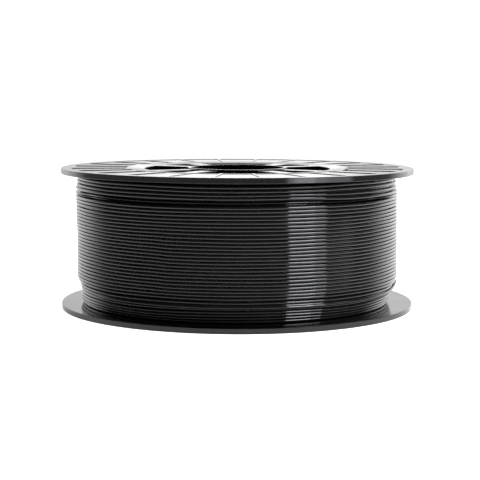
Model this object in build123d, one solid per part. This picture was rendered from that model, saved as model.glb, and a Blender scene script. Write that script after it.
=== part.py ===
from build123d import *
import math
import os

# A full spool of 1.75 mm filament: two identical moulded flanges that snap onto a moulded core,
# and one strand of filament wound on the core between them.
# Millimetres. +Z is the spool's axis. The origin is the centre of the face that the spool rests on.

# ---------------------------------------------------------------- driving dimensions
SPOOL_WIDTH = 79.0
FLANGE_RADIUS = 100.0
FLANGE_THICKNESS = 3.0
BORE_RADIUS = 26.25
BORE_WALL = 2.0
FIT = 0.15                      # gap between mouldings that slide together

# flange, outer face: a flat rim, shallow pockets between ribs, and a dished hub ring.
# The pockets slope up to the rim and to the hub ring.
RIM_WIDTH = 5.4
RIM_EDGE_ROUND = 0.25
HUB_RING_OUTER = 62.8
HUB_RING_INNER = 52.8
HUB_LIP = 1.0                   # flat edge round the outside of the hub ring
HUB_DISH = 0.55                 # depth of the dish at the hub ring's inner edge
POCKET_DEPTH = 0.28
POCKET_SLOPE = 1.6              # length of the slopes
RIB_COUNT = 24
RIB_WIDTH = 1.5

# flange, hub: spokes from the hub ring to the bore collar, 30 degrees each side of X and of Y
SPOKE_ANGLES = [quarter + side for quarter in (0, 90, 180, 270) for side in (-30, 30)]
SPOKE_WIDTH = 8.0
SPOKE_EDGE_ROUND = 0.3
WINDOW_CORNER = 2.5
COLLAR_DEPTH = 12.0             # how far the bore collar reaches in from the outer face
COLLAR_EDGE_ROUND = 0.35

# slot beside the core, where the strand's first turn is threaded through the flange
START_SLOT_RADIUS = 63.2
START_SLOT_ANGLE = -15.0
START_SLOT_LENGTH = 7.5
START_SLOT_WIDTH = 2.2

# core: the barrel that the filament is wound on, the bore tube, and a web under every spoke
BARREL_RADIUS = 61.5
BARREL_WALL = 2.5
WEB_THICKNESS = 2.0

# snap hooks: one in each window, on the flange; each catches in a slot of the barrel
HOOK_ANGLES = range(0, 360, 45)
HOOK_HALF_ARC = 7.5             # degrees each side of the hook's middle
HOOK_THICKNESS = 1.8
HOOK_CATCH = 1.5                # how far the nose stands out under the slot's edge
HOOK_LAND = 0.6                 # straight part of the nose, before its lead-in
HOOK_DEPTH = 15.5               # tip, from the flange's outer face
CATCH_DEPTH = 12.5              # catch face, from the flange's outer face
SLOT_PLAY = 0.6

# winding: the turns that others hide are one ring; the turns that show are the ring around it.
# Its steps are the radii to which the strand is wound near the flanges, as (height, radius).
WINDING_GAP = 0.1
BURIED_RADIUS = 83.5
WINDING_STEPS = [(4.4, 86.9), (8.0, 88.2), (15.9, 88.4), (67.6, 91.2), (73.6, 90.4), (75.9, 89.6)]

# loose end of the strand: it runs on over the lower turns, then bends up across them.
# Its route is given as (degrees round from -Y, radius, height).
FILAMENT_DIAMETER = 1.75
END_ROUTE = [(48, 89.4, 11.7), (60, 89.4, 11.8), (70, 89.4, 12.2), (78, 89.7, 13.2), (86, 90.5, 14.9)]

# ---------------------------------------------------------------- helpers

GAP = SPOOL_WIDTH - 2 * FLANGE_THICKNESS
THROUGH = 4 * SPOOL_WIDTH       # longer than anything that is cut through


def ring(outer, inner, bottom, top):
    """A plain tube section about the spool's axis."""
    tube = Circle(outer) - Circle(inner)
    return Pos(0, 0, bottom) * extrude(tube, amount=top - bottom)


def bars(angles, length, width):
    """Flat bars from the axis outwards, one at each angle."""
    bar = Pos(length / 2, 0) * Rectangle(length, width)
    return Sketch() + [Rot(0, 0, angle) * bar for angle in angles]


def sector(angle, half_arc, length):
    """A flat wedge about the axis, half_arc degrees each side of angle."""
    reach = length * math.tan(math.radians(half_arc))
    wedge = make_face(Polyline((0, 0), (length, -reach), (length, reach), close=True))
    return Rot(0, 0, angle) * wedge


def revolved(points):
    """A solid of revolution about Z from its outline, as (radius, height)."""
    outline = make_face(Plane.XZ * Polyline(*points, close=True))
    return revolve(outline, Axis.Z)


def cylindrical(angle, radius, height):
    """A point at an angle round from -Y towards +X."""
    turn = math.radians(angle)
    return Vector(radius * math.sin(turn), -radius * math.cos(turn), height)


def level_edges(shape, height, inner, outer):
    """Edges that lie at one height, with their middles between two radii."""
    level = shape.edges().filter_by_position(Axis.Z, height - 0.01, height + 0.01)
    return level.filter_by(lambda edge: inner < math.hypot(*tuple(edge @ 0.5)[:2]) < outer)


# ---------------------------------------------------------------- flange

def flange_disc():
    """Disc with its outer face at z = 0: flat out to the rim, dished at the hub."""
    disc = revolved([
        (BORE_RADIUS + BORE_WALL / 2, -FLANGE_THICKNESS),
        (FLANGE_RADIUS, -FLANGE_THICKNESS),
        (FLANGE_RADIUS, 0),
        (HUB_RING_OUTER - HUB_LIP, 0),
        (HUB_RING_INNER + HUB_LIP / 2, -HUB_DISH),
        (BORE_RADIUS + BORE_WALL / 2, -HUB_DISH),
    ])
    rim_edges = disc.edges().filter_by(lambda edge: edge.geom_type == GeomType.CIRCLE)
    rim_edges = rim_edges.filter_by(lambda edge: edge.radius > FLANGE_RADIUS - 0.01)
    return fillet(rim_edges, RIM_EDGE_ROUND)


def pockets():
    """Shallow pockets between the ribs."""
    outer = FLANGE_RADIUS - RIM_WIDTH
    sunk = revolved([
        (HUB_RING_OUTER, 0),
        (HUB_RING_OUTER + POCKET_SLOPE, -POCKET_DEPTH),
        (outer - POCKET_SLOPE, -POCKET_DEPTH),
        (outer, 0),
    ])
    rib_step = 360 / RIB_COUNT
    rib_angles = [rib_step * (index + 0.5) for index in range(RIB_COUNT)]
    ribs = extrude(bars(rib_angles, FLANGE_RADIUS, RIB_WIDTH), amount=THROUGH, both=True)
    return sunk - ribs


def windows():
    """Openings between the spokes, right through the hub."""
    opening = Circle(HUB_RING_INNER) - Circle(BORE_RADIUS + BORE_WALL)
    opening -= bars(SPOKE_ANGLES, FLANGE_RADIUS, SPOKE_WIDTH)
    outer_corners = opening.vertices().filter_by(
        lambda corner: math.hypot(corner.X, corner.Y) > HUB_RING_INNER - 1
    )
    opening = fillet(outer_corners, WINDOW_CORNER)
    return extrude(opening, amount=THROUGH, both=True)


def snap_hooks():
    """Spring tabs on the inner face, each with a nose that faces outwards."""
    face = BARREL_RADIUS - BARREL_WALL - FIT
    back = face - HOOK_THICKNESS
    profile = revolved([
        (back, -FLANGE_THICKNESS),
        (face, -FLANGE_THICKNESS),
        (face, -CATCH_DEPTH),
        (face + HOOK_CATCH, -CATCH_DEPTH),
        (face + HOOK_CATCH, -CATCH_DEPTH - HOOK_LAND),
        (face - FIT, -HOOK_DEPTH),
        (back, -HOOK_DEPTH),
    ])
    wedges = Sketch() + [sector(angle, HOOK_HALF_ARC, FLANGE_RADIUS) for angle in HOOK_ANGLES]
    return profile & extrude(wedges, amount=THROUGH, both=True)


def start_slot():
    """Slot along the barrel's surface for the strand's first turn."""
    slot = SlotOverall(START_SLOT_LENGTH, START_SLOT_WIDTH, rotation=90)
    slot = Rot(0, 0, START_SLOT_ANGLE) * Pos(START_SLOT_RADIUS, 0) * slot
    return extrude(slot, amount=THROUGH, both=True)


def flange():
    """One flange moulding, outer face up at z = 0."""
    body = flange_disc() - pockets() - windows()
    window_edges = level_edges(body, -HUB_DISH, BORE_RADIUS + BORE_WALL - 0.1, HUB_RING_INNER + 0.1)
    body = fillet(window_edges, SPOKE_EDGE_ROUND)
    collar = ring(BORE_RADIUS + BORE_WALL, BORE_RADIUS, -COLLAR_DEPTH, 0)
    collar = fillet(collar.edges().filter_by_position(Axis.Z, -0.01, 0.01), COLLAR_EDGE_ROUND)
    return body - start_slot() + collar + snap_hooks()


# ---------------------------------------------------------------- core

def barrel_slots():
    """Slots through the barrel at both ends, one for each snap hook."""
    height = HOOK_DEPTH - CATCH_DEPTH + SLOT_PLAY
    width = 2 * BARREL_RADIUS * math.sin(math.radians(HOOK_HALF_ARC)) + 2 * SLOT_PLAY
    block = Box(4 * BARREL_WALL, width, height)
    top_slot = Pos(BARREL_RADIUS, 0, SPOOL_WIDTH - CATCH_DEPTH - height / 2) * block
    low_slot = Pos(BARREL_RADIUS, 0, CATCH_DEPTH + height / 2) * block
    return [Rot(0, 0, angle) * slot for angle in HOOK_ANGLES for slot in (top_slot, low_slot)]


def core():
    """Barrel, bore tube and webs, between the two flanges."""
    low = FLANGE_THICKNESS
    high = SPOOL_WIDTH - FLANGE_THICKNESS
    tube_radius = BORE_RADIUS + BORE_WALL
    barrel = ring(BARREL_RADIUS, BARREL_RADIUS - BARREL_WALL, low, high)
    tube = ring(tube_radius, BORE_RADIUS, COLLAR_DEPTH, SPOOL_WIDTH - COLLAR_DEPTH)
    spread = bars(SPOKE_ANGLES, BARREL_RADIUS - BARREL_WALL / 2, WEB_THICKNESS)
    webs = Pos(0, 0, low) * extrude(spread - Circle(tube_radius + FIT), amount=GAP)
    roots = bars(SPOKE_ANGLES, tube_radius + 2 * FIT, WEB_THICKNESS) - Circle(tube_radius - FIT)
    roots = Pos(0, 0, COLLAR_DEPTH) * extrude(roots, amount=SPOOL_WIDTH - 2 * COLLAR_DEPTH)
    return barrel + tube + webs + roots - barrel_slots()


# ---------------------------------------------------------------- filament

def buried_turns():
    """The turns that others hide, as one closed ring round the barrel."""
    low = FLANGE_THICKNESS + WINDING_GAP
    high = SPOOL_WIDTH - FLANGE_THICKNESS - WINDING_GAP
    return ring(BURIED_RADIUS, BARREL_RADIUS + WINDING_GAP, low, high)


def outer_turns():
    """The turns that show, as one ring whose radius steps down towards both flanges."""
    inner = BURIED_RADIUS + WINDING_GAP
    low = FLANGE_THICKNESS + WINDING_GAP
    outline = [(inner, low)]
    for height, radius in WINDING_STEPS:
        outline.append((radius, low))
        outline.append((radius, height))
        low = height
    outline.append((inner, low))
    return revolved(outline)


def loose_end():
    """The strand's outer end, cut square at its tip."""
    route = Spline(*[cylindrical(*point) for point in END_ROUTE])
    section = Plane(origin=route @ 0, z_dir=route % 0) * Circle(FILAMENT_DIAMETER / 2)
    return sweep(section, path=route)


def write(shape, name):
    """One STEP file for one sub-part."""
    shape.label = name
    export_step(shape, f"parts/{name}.step")
    print(f"{name}: {len(shape.solids())} solid, {shape.volume / 1000:.2f} cm3")


def main():
    os.makedirs("parts", exist_ok=True)
    moulding = flange()
    write(Pos(0, 0, SPOOL_WIDTH) * moulding, "upper_flange")
    write(Rot(180, 0, 0) * moulding, "lower_flange")
    write(core(), "core")
    write(buried_turns(), "filament_buried_turns")
    write(outer_turns(), "filament_outer_turns")
    write(loose_end(), "filament_loose_end")


main()
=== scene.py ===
import bpy
import math
import numpy as np
from mathutils import Euler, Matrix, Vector


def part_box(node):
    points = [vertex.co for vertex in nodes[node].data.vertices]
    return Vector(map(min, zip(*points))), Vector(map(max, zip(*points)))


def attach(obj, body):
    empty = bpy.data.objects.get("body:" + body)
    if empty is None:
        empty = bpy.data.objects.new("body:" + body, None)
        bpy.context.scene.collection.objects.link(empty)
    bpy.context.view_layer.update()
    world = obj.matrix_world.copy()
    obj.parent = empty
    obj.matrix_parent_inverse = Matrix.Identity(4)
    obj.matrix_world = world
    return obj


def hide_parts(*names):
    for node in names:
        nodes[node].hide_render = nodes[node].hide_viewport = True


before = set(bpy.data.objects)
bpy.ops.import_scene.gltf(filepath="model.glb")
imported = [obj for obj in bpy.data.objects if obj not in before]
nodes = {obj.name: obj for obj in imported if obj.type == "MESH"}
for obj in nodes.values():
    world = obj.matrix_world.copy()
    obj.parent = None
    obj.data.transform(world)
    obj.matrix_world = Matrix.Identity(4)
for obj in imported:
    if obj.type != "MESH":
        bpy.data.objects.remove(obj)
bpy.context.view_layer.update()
scene = bpy.context.scene

MM = 0.001

# ---------------------------------------------------------------- sizes, from the frame
WINDING_LOW, WINDING_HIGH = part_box("filament_outer_turns")
BURIED_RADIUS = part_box("filament_buried_turns")[1][0]

# ---------------------------------------------------------------- the strand
# Angles are in degrees round from -Y, the front, towards +X.
STRAND_RADIUS = 0.875 * MM
ROW_PITCH = 1.865 * MM              # height from one level row to the next
LAYER_RISE = 1.55 * MM              # a turn lies in the groove between two turns below it
OUTER_ROW_RADIUS = WINDING_HIGH[0] - STRAND_RADIUS
LOWEST = WINDING_LOW[2] + STRAND_RADIUS
HIGHEST = WINDING_HIGH[2] - STRAND_RADIUS
MAIN_ROWS = 26                      # level rows, from the top one downwards
MAIN_TOP = 62.8 * MM
LOW_ROWS = (3.98, 5.5, 7.05, 8.6, 10.4, 12.2, 13.9)       # heights of the rows below them, in millimetres
TOP_ROWS = (65.0, 67.25, 68.95, 70.85, 72.85)             # and of the rows above them
CROSSOVER = 158.0                   # where the lowest turn steps up to the next row
CROSSOVER_HALF = 13.0               # half of the stretch that a step takes
CROSSOVER_DRIFT = 0.9               # each row steps up this much later than the row below
BEFORE_CROSSOVER = 300.0            # every turn starts this far before CROSSOVER
BEND = 0.06                         # a laid strand's bends are rounded over this share of it, each way

# How far parts of the winding stand out, in millimetres
OFF_CENTRE = 0.45                   # the upper turns lie this far to the left
UPPER_SWELL = 0.12                  # and are a little fuller all round
FRONT_RIDGE = 0.16                  # an upright ridge at the front, left of the middle
REAR_SWELL = 0.25                   # at the back, where the turns step up
FOOT_SWELL = 1.5                    # the lowest turns at the left
LOW_SWELL = 0.4                     # added to them and to a few more above them

# How far groups of rows lie off their plain heights, in millimetres
TOP_RISE = 0.35                     # the top rows lie higher all round
LEFT_RISE = 0.5                     # more so at the left
LEFT_PEAK = 0.4                     # and most of all at the left around LEFT_PEAK_HEIGHT
LEFT_PEAK_HEIGHT = 70.5
RIGHT_DROP = 0.95                   # at the right they lie lower
RIGHT_SPREAD = 0.4                  # but by this much less for every millimetre above TOP_ROWS[1]
SHOULDER_RISE = 0.3                 # the rows just below them lie higher at both sides
FRONT_DIP = 0.34                    # the middle rows lie lower at the front

# Waves round the winding: (millimetres, waves in a turn, phase per millimetre of height, phase)
SWAY_WAVES = ((0.10, 2, 0.09, 0.0), (0.07, 5, -0.21, 1.3), (0.05, 9, 0.35, 0.6))
LOW_SWAY_WAVES = ((0.22, 2, 0.0, 1.1), (0.20, 5, 0.2, 0.0))
SWELL_WAVES = ((0.05, 3, 0.17, 0.0), (0.04, 7, -0.4, 0.0))

# How far the winding's surface falls away towards the flanges, at heights in millimetres
FALL_HEIGHTS = (3.9, 7.0, 10.5, 12.2, 14.0, 15.2, 16.2, 18.1, 67.4, 69.0, 73.0, 76.0)
FALLS = (5.3, 3.7, 2.7, 2.3, 1.7, 1.2, 0.7, 0.0, 0.0, 0.4, 1.0, 1.9)

# The slack stretch at the front, where the turns between these heights have sunk in
SUNK_HEIGHTS = (63.7, 66.3)
SUNK_ANGLES = (-64.0, 56.0)
SUNK_DEPTH = 3.4

# The last turn and the loose end: (angle, radius, height), in degrees and millimetres
LAST_TURN = ((-100, 87.0, 11.3), (-70, 87.9, 11.4), (-40, 89.0, 11.7), (0, 89.5, 11.7), (47, 89.5, 11.7))
LOOSE_END = ((46, 89.5, 11.7), (60, 89.5, 11.8), (70, 89.5, 12.2), (78, 89.8, 13.2), (86, 90.5, 14.9))

# ---------------------------------------------------------------- the studio
# Lengths in metres, powers in watts, angles in degrees; lights stand round from -Y towards +X.
CAMERA_DISTANCE = 0.778
CAMERA_HEIGHT = 0.1216
CAMERA_TILT, CAMERA_PAN, CAMERA_ROLL = 6.197, -0.12, 0.18
LIGHT_REACH = 1.1                   # from the axis to the lights beside the spool
LIGHT_AIM = (0, 0, 0.04)            # about the middle of the spool
COOL_WHITE = (0.93, 0.95, 1.0)
WHITE = (1.0, 1.0, 1.0)
SOFTBOX_HEIGHT = 0.64
SOFTBOX_LENGTH = 0.94
SOFTBOX_LEAN = -15.0
REFLECTOR_HEIGHT = 0.015
REFLECTOR_LENGTH = 0.08
# Tall softboxes: (name, angle, width, power)
SOFTBOXES = (("side_softbox", 48.0, 0.38, 15.6), ("side_panel", 62.5, 0.2, 4.7))
# Low reflectors: (angle, width, power)
REFLECTORS = ((43.0, 0.5, 0.42), (41.0, 0.24, 0.15), (64.5, 0.33, 0.20))
# High softboxes: (name, place, size, power)
HIGH_SOFTBOXES = (("right_softbox", (0.8, 0.35, 1.25), (0.7, 0.7), 5.5),
                  ("top_softbox", (0, 0.5, 1.5), (1.9, 1.0), 12.5))


def smooth(value):
    """Smooth step from 0 to 1 as value goes from 0 to 1."""
    value = np.clip(value, 0.0, 1.0)
    return value * value * (3.0 - 2.0 * value)


def ramp(value, start, end):
    """Smooth step from 0 at start to 1 at end."""
    return smooth((value - start) / (end - start))


def window(value, low, high, soft):
    """1 between low and high, falling to 0 over soft outside them."""
    return smooth((value - low) / soft + 1.0) * smooth((high - value) / soft + 1.0)


def bell(value, middle, width):
    """1 at middle, falling to 0 on both sides."""
    return np.exp(-(((value - middle) / width) ** 2))


def waves(table, turn, level):
    """Sum of a table's waves, at an angle in radians and a height in millimetres."""
    return sum(size * np.sin(count * turn + level * slant + phase) for size, count, slant, phase in table)


def sway(angle, height):
    """Slow wandering of the rows up and down, in metres; neighbours move together."""
    turn = np.radians(angle)
    level = height / MM
    side = np.sin(turn)                 # 1 at the right, -1 at the left
    gentle = waves(SWAY_WAVES, turn, level)

    # The top rows lie higher at the left and further apart at the right
    left_rise = LEFT_RISE + LEFT_PEAK * bell(level, LEFT_PEAK_HEIGHT, 1.8)
    right_rise = RIGHT_SPREAD * np.clip(level - TOP_ROWS[1], 0.0, 3.6) - RIGHT_DROP
    top = TOP_RISE + left_rise * np.clip(-side, 0.0, 1.0) + ramp(side, 0.35, 0.70) * right_rise
    upper = top * ramp(level, 63.5, 66.5) + SHOULDER_RISE * window(level, 58.6, 63.0, 0.7) * np.abs(side)

    # The low rows wander more, but the very lowest settle level on the flange
    lower = ramp(level, 16.0, 8.0) * waves(LOW_SWAY_WAVES, turn, level)
    settled = ramp(level, 3.5, 8.5)

    # At the front the middle rows dip left of the middle and come back slowly towards the right
    dip = -FRONT_DIP * ramp(angle, -29.0, -22.0) * ramp(angle, 60.0, 0.0)
    dip = dip * window(level, 22.0, 46.0, 5.0)
    return (gentle + upper + lower + dip) * settled * MM


def swell(angle, height):
    """How far the rows stand off the plain winding, in metres."""
    turn = np.radians(angle)
    level = height / MM
    left = -np.sin(turn)                # 1 at the left, -1 at the right
    upper = ramp(level, 40.0, 57.0)
    ridge = bell(angle, -26.0, 5.0) * window(level, 20.0, 48.0, 6.0)
    rear = bell(angle, CROSSOVER + 18.0, 22.0)
    uneven = waves(SWELL_WAVES, turn, level)
    foot = FOOT_SWELL * window(level, 3.0, 6.5, 4.0) + LOW_SWELL * window(level, 3.0, 12.5, 2.0)
    foot = foot * ramp(left, -0.3, 0.9)
    sunk = window(level, *SUNK_HEIGHTS, 0.5) * window(angle, *SUNK_ANGLES, 16.0)
    total = OFF_CENTRE * left * upper + UPPER_SWELL * upper + FRONT_RIDGE * ridge + REAR_SWELL * rear
    return (total + uneven + foot - SUNK_DEPTH * sunk) * MM


def row_radius(height):
    """Radius of a row's centre line."""
    return OUTER_ROW_RADIUS - np.interp(height / MM, FALL_HEIGHTS, FALLS) * MM


def outer_rows():
    """Height and radius of the turns that show, from the lower flange to the upper one."""
    low_of_main = MAIN_TOP - (MAIN_ROWS - 1) * ROW_PITCH
    heights = [height * MM for height in LOW_ROWS]
    heights += [low_of_main + index * ROW_PITCH for index in range(MAIN_ROWS)]
    heights += [height * MM for height in TOP_ROWS]
    return [(height, row_radius(height)) for height in heights]


def under_rows(rows):
    """Height and radius of the layer beneath, whose turns lie in the grooves of the turns that show."""
    beneath = []
    for lower, upper in zip(rows, rows[1:]):
        radius = max(min(lower[1], upper[1]) - LAYER_RISE, BURIED_RADIUS + STRAND_RADIUS)
        beneath.append(((lower[0] + upper[0]) / 2, radius))
    return beneath


def strand_path(rows, steps):
    """Points of one strand that winds through rows, as arrays of angle, radius and height.

    Every turn keeps to its row, then steps up to the next one. The last turn has no next row and
    stops short of the place where the turn before it arrives in the same row.
    """
    rows = np.array(rows)
    turns = len(rows)
    last = BEFORE_CROSSOVER + CROSSOVER_DRIFT * (turns - 1) - 2 * CROSSOVER_HALF
    travel = np.arange(int((turns - 1 + last / 360.0) * steps)) / steps
    row = np.minimum(travel.astype(int), turns - 1)
    upper = np.minimum(row + 1, turns - 1)
    around = (travel - row) * 360.0
    crossing = BEFORE_CROSSOVER + CROSSOVER_DRIFT * row
    blend = smooth((around - crossing + CROSSOVER_HALF) / (2 * CROSSOVER_HALF))
    angle = CROSSOVER - BEFORE_CROSSOVER + around
    height = rows[row, 0] * (1 - blend) + rows[upper, 0] * blend
    radius = rows[row, 1] * (1 - blend) + rows[upper, 1] * blend
    return angle, radius, height


def outwards(angle):
    """Unit vectors away from the axis."""
    turn = np.radians(angle)
    return np.stack([np.sin(turn), -np.cos(turn), np.zeros_like(turn)], axis=-1)


def tube(name, points, out, sides, material):
    """A closed tube along points; out is the direction away from the axis at each one."""
    count = len(points)
    along = np.gradient(points, axis=0)
    along /= np.linalg.norm(along, axis=1, keepdims=True)
    up = np.cross(out, along)
    up /= np.linalg.norm(up, axis=1, keepdims=True)
    corner = np.arange(sides) * 2 * math.pi / sides
    ring = np.cos(corner)[None, :, None] * out[:, None, :]
    ring = ring + np.sin(corner)[None, :, None] * up[:, None, :]
    vertices = (points[:, None, :] + STRAND_RADIUS * ring).reshape(-1, 3)
    index = np.arange(count * sides).reshape(count, sides)
    beside = np.roll(index, -1, axis=1)
    quads = np.stack([index[:-1], index[1:], beside[1:], beside[:-1]], axis=-1).reshape(-1, 4)
    faces = [tuple(quad) for quad in quads.tolist()]
    faces.append(tuple(index[0].tolist()))
    faces.append(tuple(index[-1][::-1].tolist()))
    mesh = bpy.data.meshes.new(name)
    mesh.from_pydata(vertices.tolist(), [], faces)
    mesh.validate()
    mesh.update()
    mesh.shade_smooth()
    mesh.set_sharp_from_angle(angle=math.radians(60))     # keeps the cut ends flat
    piece = bpy.data.objects.new(name, mesh)
    scene.collection.objects.link(piece)
    mesh.materials.append(material)
    return piece


def wound(name, rows, steps, sides, material):
    """One strand wound through rows, with the winding's small unevenness."""
    angle, radius, height = strand_path(rows, steps)
    radius = radius + swell(angle, height)
    height = np.clip(height + sway(angle, height), LOWEST, HIGHEST)
    out = outwards(angle)
    points = out * radius[:, None]
    points[:, 2] = height
    return tube(name, points, out, sides, material)


def laid(name, route, sides, material):
    """A single strand along a route over the winding."""
    stops = np.array(route, float)
    count = 6 * int(stops[-1, 0] - stops[0, 0]) // 5      # six points for every five degrees
    place = np.linspace(0.0, 1.0, count)
    knots = (stops[:, 0] - stops[0, 0]) / (stops[-1, 0] - stops[0, 0])
    angle = stops[0, 0] + place * (stops[-1, 0] - stops[0, 0])
    curve = [softened(place, knots, stops[:, column]) for column in (1, 2)]
    out = outwards(angle)
    points = out * curve[0][:, None] * MM
    points[:, 2] = curve[1] * MM
    return tube(name, points, out, sides, material)


def softened(place, knots, values):
    """Values between knots, rounded off at the knots."""
    shifts = np.linspace(-BEND, BEND, 13)
    return np.mean([np.interp(place + shift, knots, values) for shift in shifts], axis=0)


# ---------------------------------------------------------------- materials

def new_material(name):
    """An empty node material and its shader."""
    material = bpy.data.materials.new(name)
    material.use_nodes = True
    shader = material.node_tree.nodes["Principled BSDF"]
    return material, material.node_tree, shader


def noise(tree, vector, scale, detail=2.0, roughness=0.5):
    """A noise texture on a vector socket."""
    node = tree.nodes.new("ShaderNodeTexNoise")
    node.inputs["Scale"].default_value = scale
    node.inputs["Detail"].default_value = detail
    node.inputs["Roughness"].default_value = roughness
    tree.links.new(vector, node.inputs["Vector"])
    return node.outputs["Fac"]


def spread(tree, value, low, high, to_low, to_high):
    """Maps a value from one range to another and keeps it inside that range."""
    node = tree.nodes.new("ShaderNodeMapRange")
    node.inputs["From Min"].default_value = low
    node.inputs["From Max"].default_value = high
    node.inputs["To Min"].default_value = to_low
    node.inputs["To Max"].default_value = to_high
    tree.links.new(value, node.inputs["Value"])
    return node.outputs["Result"]


def turned(tree, angle, low, high, to_low, to_high):
    """Maps an angle from a range in degrees to another range."""
    return spread(tree, angle, math.radians(low), math.radians(high), to_low, to_high)


def maths(tree, operation, *values):
    """One arithmetic node on sockets or numbers."""
    node = tree.nodes.new("ShaderNodeMath")
    node.operation = operation
    for socket, value in zip(node.inputs, values):
        if isinstance(value, (int, float)):
            socket.default_value = value
        else:
            tree.links.new(value, socket)
    return node.outputs[0]


def product(tree, first, second):
    """Two sockets multiplied together."""
    return maths(tree, "MULTIPLY", first, second)


def bump(tree, height, strength, distance):
    """A bump node driven by a height."""
    node = tree.nodes.new("ShaderNodeBump")
    node.inputs["Strength"].default_value = strength
    node.inputs["Distance"].default_value = distance
    tree.links.new(height, node.inputs["Height"])
    return node.outputs["Normal"]


def coordinate(tree, output):
    """One of the texture coordinates, by the name of its output."""
    return tree.nodes.new("ShaderNodeTexCoord").outputs[output]


def parts_of(tree, vector):
    """The X, Y and Z of a vector socket."""
    split = tree.nodes.new("ShaderNodeSeparateXYZ")
    tree.links.new(vector, split.inputs[0])
    return split.outputs


def colours(tree, value, dark, light):
    """Blends two colours by a value."""
    node = tree.nodes.new("ShaderNodeMix")
    node.data_type = "RGBA"
    node.inputs["A"].default_value = (*dark, 1.0)
    node.inputs["B"].default_value = (*light, 1.0)
    tree.links.new(value, node.inputs["Factor"])
    return node.outputs["Result"]


def moulded_plastic():
    """Glossy black moulded plastic: cloudy gloss, a faint ripple and a few specks of dust."""
    material, tree, shader = new_material("moulded_plastic")
    point = coordinate(tree, "Object")
    cloud = noise(tree, point, scale=35.0, detail=3.0)
    ripple = noise(tree, point, scale=120.0, detail=1.0)
    specks = spread(tree, noise(tree, point, scale=900.0, detail=1.0), 0.80, 0.84, 0.0, 1.0)
    tint = maths(tree, "MAXIMUM", spread(tree, cloud, 0.3, 0.7, 0.0, 0.03), specks)
    tree.links.new(colours(tree, tint, (0.008, 0.008, 0.009), (0.14, 0.14, 0.145)),
                   shader.inputs["Base Color"])
    tree.links.new(spread(tree, cloud, 0.3, 0.7, 0.09, 0.15), shader.inputs["Roughness"])
    tree.links.new(bump(tree, ripple, strength=0.04, distance=0.0003), shader.inputs["Normal"])
    shader.inputs["IOR"].default_value = 1.5
    return material


def filament_plastic():
    """Black extruded filament: gloss that varies along the strand."""
    material, tree, shader = new_material("filament")
    point = parts_of(tree, coordinate(tree, "Object"))
    turn = maths(tree, "ARCTAN2", point["Y"], point["X"])
    along = tree.nodes.new("ShaderNodeCombineXYZ")
    tree.links.new(turn, along.inputs["X"])
    tree.links.new(maths(tree, "MULTIPLY", point["Z"], 60.0), along.inputs["Y"])
    streak = noise(tree, along.outputs[0], scale=9.0, detail=3.0)
    tint = spread(tree, streak, 0.3, 0.7, 0.0, 1.0)
    tree.links.new(colours(tree, tint, (0.006, 0.006, 0.006), (0.009, 0.009, 0.009)),
                   shader.inputs["Base Color"])
    tree.links.new(spread(tree, streak, 0.3, 0.7, 0.06, 0.10), shader.inputs["Roughness"])
    shader.inputs["IOR"].default_value = 1.48
    return material


def floor_paper():
    """White seamless paper with very faint fibre; it glows, most of all where it is seen directly."""
    material, tree, shader = new_material("floor_paper")
    fibre = noise(tree, coordinate(tree, "Object"), scale=60.0, detail=4.0)
    tree.links.new(colours(tree, fibre, (0.88, 0.88, 0.88), (0.92, 0.92, 0.92)),
                   shader.inputs["Base Color"])
    shader.inputs["Roughness"].default_value = 0.9
    shader.inputs["Specular IOR Level"].default_value = 0.1
    shader.inputs["Emission Color"].default_value = (1.0, 1.0, 1.0, 1.0)
    seen = tree.nodes.new("ShaderNodeLightPath").outputs["Is Camera Ray"]
    tree.links.new(spread(tree, seen, 0.0, 1.0, 0.45, 0.92), shader.inputs["Emission Strength"])
    return material


# ---------------------------------------------------------------- the object

def build_winding(material):
    """The strand: the turns that show, the layer beneath them, the last turn and the loose end."""
    rows = outer_rows()
    turns = [
        wound("filament_strand", rows, steps=210, sides=12, material=material),
        wound("filament_layer_beneath", under_rows(rows), steps=160, sides=8, material=material),
        laid("filament_last_turn", LAST_TURN, sides=12, material=material),
    ]
    for piece in turns:
        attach(piece, "root")
        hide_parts("filament_outer_turns")
    end = laid("filament_end", LOOSE_END, sides=16, material=material)
    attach(end, "root")
    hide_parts("filament_loose_end")


def set_material(name, material):
    """Gives a CAD node one material."""
    mesh = nodes[name].data
    mesh.materials.clear()
    mesh.materials.append(material)


def build_floor():
    """Pale floor under and behind the spool."""
    left, right, front, back = -0.5, 0.5, -0.42, 1.5
    corners = [(left, front, 0), (right, front, 0), (right, back, 0), (left, back, 0)]
    mesh = bpy.data.meshes.new("floor")
    mesh.from_pydata(corners, [], [(0, 1, 2, 3)])
    floor = bpy.data.objects.new("floor", mesh)
    scene.collection.objects.link(floor)
    mesh.materials.append(floor_paper())


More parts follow.
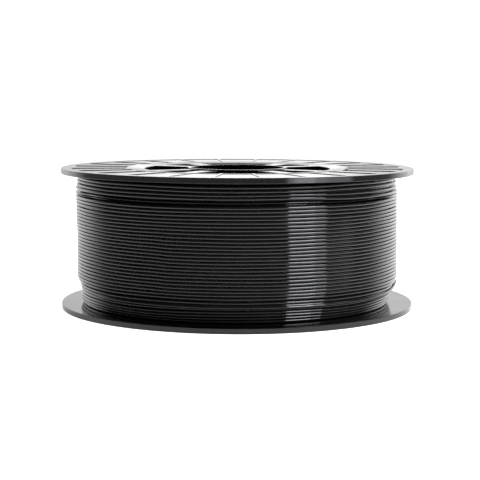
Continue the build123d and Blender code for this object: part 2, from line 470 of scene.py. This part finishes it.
def build_world():
    """A bright backdrop behind the spool, brighter at its wings, and a dark room in front.

    A direction is told by its side angle, in degrees from +Y towards +X, and by the Z of its unit vector.
    """
    world = bpy.data.worlds.new("studio")
    scene.world = world
    world.use_nodes = True
    tree = world.node_tree
    background = tree.nodes["Background"]
    ray = parts_of(tree, coordinate(tree, "Generated"))
    rise = ray["Z"]
    side = maths(tree, "ARCTAN2", ray["X"], ray["Y"])
    away = maths(tree, "ABSOLUTE", side)

    # From side to side: the backdrop's ends, a little more light towards the right, and the wings
    ends = turned(tree, away, 72, 52, 0.0, 1.0)
    slope = turned(tree, side, -12, 12, 0.90, 1.06)
    right_wing = turned(tree, side, 18, 34, 1.0, 2.4)
    left_wing = turned(tree, side, -38, -18, 2.2, 1.0)
    across = product(tree, ends, product(tree, slope, maths(tree, "MAXIMUM", right_wing, left_wing)))

    # Upwards: a darker foot, a glow in the middle, brighter flanks beside the glow, and a fade to the top
    foot = spread(tree, rise, 0.048, 0.056, 0.82, 0.92)
    glow_starts = spread(tree, rise, 0.0575, 0.0605, 0.0, 1.6)
    glow_fades = spread(tree, rise, 0.07, 0.15, 1.6, 0.1)
    glow = maths(tree, "MINIMUM", glow_starts, glow_fades)
    glow = product(tree, glow, turned(tree, away, 3, 6, 1.0, 0.16))
    flanks = product(tree, spread(tree, rise, 0.10, 0.14, 0.0, 0.30), turned(tree, away, 4, 6, 0.0, 1.0))
    middle = maths(tree, "ADD", maths(tree, "ADD", glow, flanks), 1.0)
    fade = spread(tree, rise, 0.17, 0.55, 1.0, 0.22)
    backdrop = product(tree, across, product(tree, foot, product(tree, middle, fade)))

    # The room: a pale band just below the horizon, dim under it and nearly dark above it
    below = spread(tree, rise, -0.12, -0.05, 0.12, 0.36)
    above = spread(tree, rise, -0.02, 0.05, 0.36, 0.04)
    level = maths(tree, "MAXIMUM", backdrop, maths(tree, "MINIMUM", below, above))

    # Seen directly, the backdrop is at least plain white
    seen = tree.nodes.new("ShaderNodeLightPath").outputs["Is Camera Ray"]
    strength = maths(tree, "MAXIMUM", level, maths(tree, "MULTIPLY", seen, 1.1))
    tree.links.new(strength, background.inputs["Strength"])
    background.inputs["Color"].default_value = (1.0, 1.0, 1.0, 1.0)


def area_light(name, place, lean, size, power, colour):
    """A soft rectangular light aimed at the spool; lean turns it in its own plane, in degrees."""
    light = bpy.data.lights.new(name, "AREA")
    light.shape = "RECTANGLE"
    light.size, light.size_y = size
    light.energy = power
    light.color = colour
    lamp = bpy.data.objects.new(name, light)
    lamp.location = place
    direction = Vector(LIGHT_AIM) - Vector(place)
    aim = direction.to_track_quat("-Z", "Y").to_euler()
    aim.rotate_axis("Z", math.radians(lean))
    lamp.rotation_euler = aim
    scene.collection.objects.link(lamp)
    return lamp


def light_group(name, pieces, state):
    """A group of pieces that a lamp lights alone (INCLUDE) or leaves out (EXCLUDE)."""
    group = bpy.data.collections.new(name)
    for index, piece in enumerate(pieces):
        group.objects.link(nodes[piece])
        group.collection_objects[index].light_linking.link_state = state
    return group


def beside(angle, height):
    """A place beside the spool, at the lights' reach."""
    side = math.radians(angle)
    return (LIGHT_REACH * math.sin(side), -LIGHT_REACH * math.cos(side), height)


def build_lights():
    """Softboxes at the right front, high at the right and above, and low reflectors for the flanges.

    The tall softboxes don't light the flanges, which would mirror them as white sheets from behind.
    The low reflectors light the flanges only.
    """
    flanges = ("upper_flange", "lower_flange")
    flagged = light_group("all_but_flanges", flanges, "EXCLUDE")
    rims = light_group("flanges_only", flanges, "INCLUDE")
    for name, angle, width, power in SOFTBOXES:
        place = beside(angle, SOFTBOX_HEIGHT)
        lamp = area_light(name, place, SOFTBOX_LEAN, (width, SOFTBOX_LENGTH), power, COOL_WHITE)
        lamp.light_linking.receiver_collection = flagged
    for angle, width, power in REFLECTORS:
        place = beside(angle, REFLECTOR_HEIGHT)
        lamp = area_light("low_reflector", place, 0.0, (width, REFLECTOR_LENGTH), power, COOL_WHITE)
        lamp.light_linking.receiver_collection = rims
    for name, place, size, power in HIGH_SOFTBOXES:
        area_light(name, place, 0.0, size, power, WHITE)


def build_camera():
    """Low front view along +Y."""
    camera = bpy.data.cameras.new("camera")
    camera.sensor_width = 36.0
    camera.lens = 102.24
    camera.clip_end = 50.0
    holder = bpy.data.objects.new("camera", camera)
    holder.location = (0.0, -CAMERA_DISTANCE, CAMERA_HEIGHT)
    aim = Euler((math.pi / 2 - math.radians(CAMERA_TILT), 0.0, math.radians(CAMERA_PAN)))
    aim.rotate_axis("Z", math.radians(CAMERA_ROLL))
    holder.rotation_euler = aim
    scene.collection.objects.link(holder)
    scene.camera = holder


moulded = moulded_plastic()
filament = filament_plastic()
for name in ("upper_flange", "lower_flange", "core"):
    set_material(name, moulded)
for name in ("filament_buried_turns", "filament_outer_turns", "filament_loose_end"):
    set_material(name, filament)
build_winding(filament)
build_floor()
build_world()
build_lights()
build_camera()
scene.view_settings.view_transform = "Standard"
